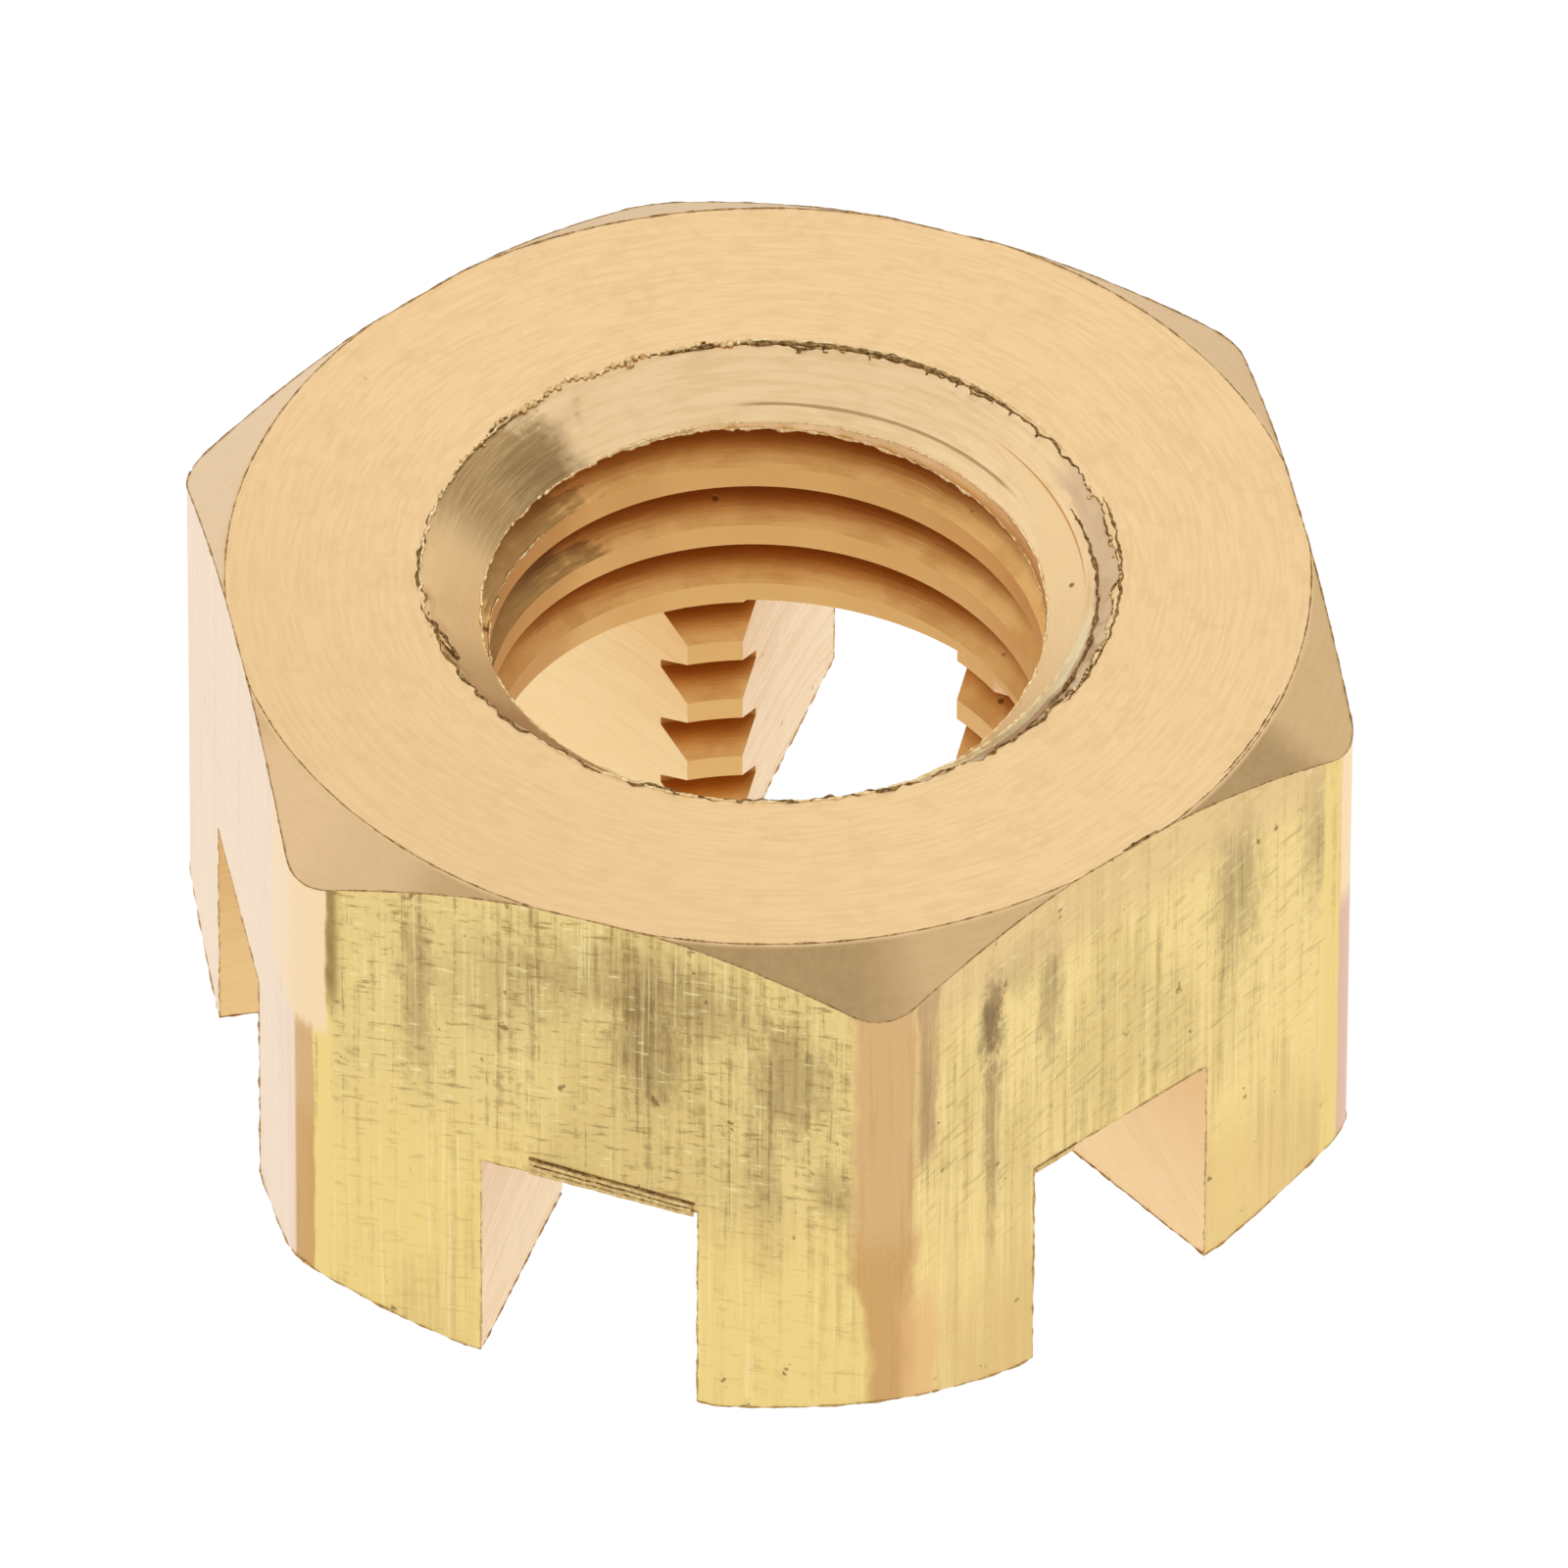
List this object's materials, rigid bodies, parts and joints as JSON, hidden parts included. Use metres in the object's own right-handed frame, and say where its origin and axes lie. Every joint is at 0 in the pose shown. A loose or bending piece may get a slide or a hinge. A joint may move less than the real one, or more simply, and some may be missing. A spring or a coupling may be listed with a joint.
{
  "type": "slotted hexagon nut",
  "caption": "Slotted hexagon castle nut in solid brass, chamfered at both ends, with a coarse metric bore and open slots for a locking split pin.",
  "frame": {"origin": "centre of the slotted end's plane, on the thread axis, which is the plane that the nut lies on", "axes": "+Z along the thread axis towards the bearing face; two corners of the hexagon lie along X and two flats face along Y"},
  "size_m": [0.0194, 0.017, 0.0098],
  "materials": {
    "brass": "machined from drawn brass bar: turned ends, drawn flats, milled slots, no plating"
  },
  "bodies": {
    "root": {"slotted_nut": "brass"}
  },
  "joints": []
}
